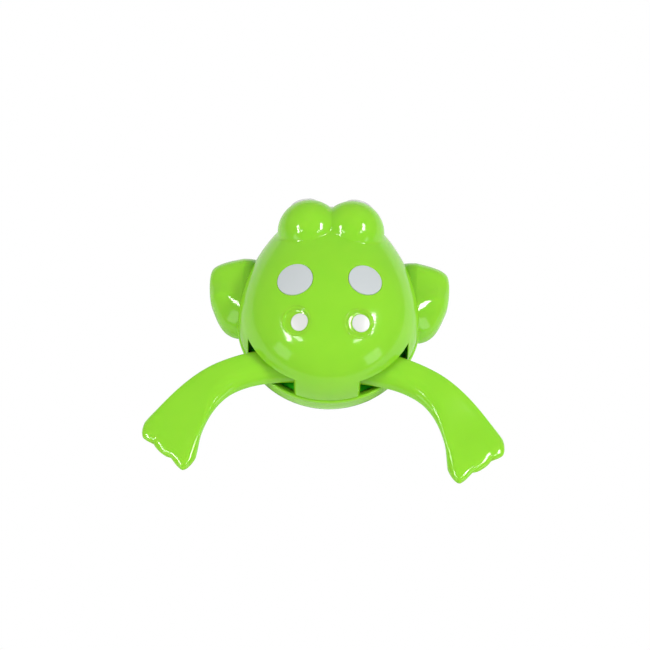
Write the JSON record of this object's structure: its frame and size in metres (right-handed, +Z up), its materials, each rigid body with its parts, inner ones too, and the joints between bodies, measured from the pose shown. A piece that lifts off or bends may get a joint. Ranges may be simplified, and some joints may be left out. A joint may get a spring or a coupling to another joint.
{
  "type": "wind-up swimming frog toy",
  "caption": "Wind-up swimming frog toy in glossy green plastic: egg-shaped shells with eye mounds, fixed arms, hinged kicking legs with webbed feet, a belly winding knob and clockwork.",
  "frame": {"origin": "middle of the flat face under the belly, on the surface the toy stands on", "axes": "+Z up, +Y towards the nose, +X towards the frog's right arm"},
  "size_m": [0.123, 0.1044, 0.0432],
  "materials": {
    "green_plastic": "polished, mould-fresh lime green",
    "white_plastic": "satin white",
    "black_plastic": "polished black",
    "ivory_plastic": "matte moulded",
    "gear_plastic": "slightly waxy",
    "steel": "ground and plated",
    "spring_steel": "blued strip",
    "brass": "stamped brass"
  },
  "bodies": {
    "frog_body": {"upper_shell": "green_plastic", "lower_shell": "green_plastic", "back_spots": "white_plastic", "dimple_dots": "white_plastic", "eye_whites": "white_plastic", "pupils": "black_plastic", "left_arm": "green_plastic", "right_arm": "green_plastic", "hip_pins": "steel", "hip_washers": "steel", "shell_screws": "steel", "motor_base": "ivory_plastic", "motor_cover": "ivory_plastic", "motor_screws": "steel", "mainspring": "spring_steel", "spring_post": "steel", "middle_axle": "steel", "crank_axle": "steel"},
    "right_leg_body": {"right_leg": "green_plastic"},
    "left_leg_body": {"left_leg": "green_plastic"},
    "winder": {"winding_knob": "white_plastic", "winding_arbor": "steel", "knob_screw": "steel", "ratchet_wheel": "brass"},
    "great_wheel_body": {"great_wheel": "gear_plastic", "pawl_spring": "spring_steel"},
    "pawl_body": {"pawl": "brass"},
    "middle_gear_body": {"middle_gear": "gear_plastic"},
    "crank_body": {"crank_wheel": "gear_plastic", "crank_pin": "steel"}
  },
  "joints": [
    {"name": "right_kick", "type": "hinge", "parent": "frog_body", "child": "right_leg_body", "pos_m": [0.0115, -0.0195, 0.021], "axis": [0, 0, 1], "range_deg": [-26, 1]},
    {"name": "left_kick", "type": "hinge", "parent": "frog_body", "child": "left_leg_body", "pos_m": [-0.0115, -0.0195, 0.021], "axis": [0, 0, 1], "range_deg": [-1, 26]},
    {"name": "winder_turn", "type": "hinge", "parent": "frog_body", "child": "winder", "pos_m": [0, 0.004, 0.012], "axis": [0, 0, 1], "continuous": true},
    {"name": "great_turn", "type": "hinge", "parent": "frog_body", "child": "great_wheel_body", "pos_m": [0, 0.004, 0.0165], "axis": [0, 0, 1], "continuous": true},
    {"name": "pawl_lift", "type": "hinge", "parent": "great_wheel_body", "child": "pawl_body", "pos_m": [-0.00781, 0.00566, 0.0188], "axis": [0, 0, 1], "range_deg": [-6, 2]},
    {"name": "middle_turn", "type": "hinge", "parent": "frog_body", "child": "middle_gear_body", "pos_m": [0, -0.009, 0.0165], "axis": [0, 0, 1], "continuous": true},
    {"name": "crank_turn", "type": "hinge", "parent": "frog_body", "child": "crank_body", "pos_m": [0, -0.0195, 0.0145], "axis": [0, 0, 1], "continuous": true}
  ],
  "couplings": [
    {"joint": "left_kick", "follows": "right_kick", "ratio": -1},
    {"joint": "middle_turn", "follows": "great_turn", "ratio": -4.2},
    {"joint": "crank_turn", "follows": "great_turn", "ratio": 10.5}
  ]
}
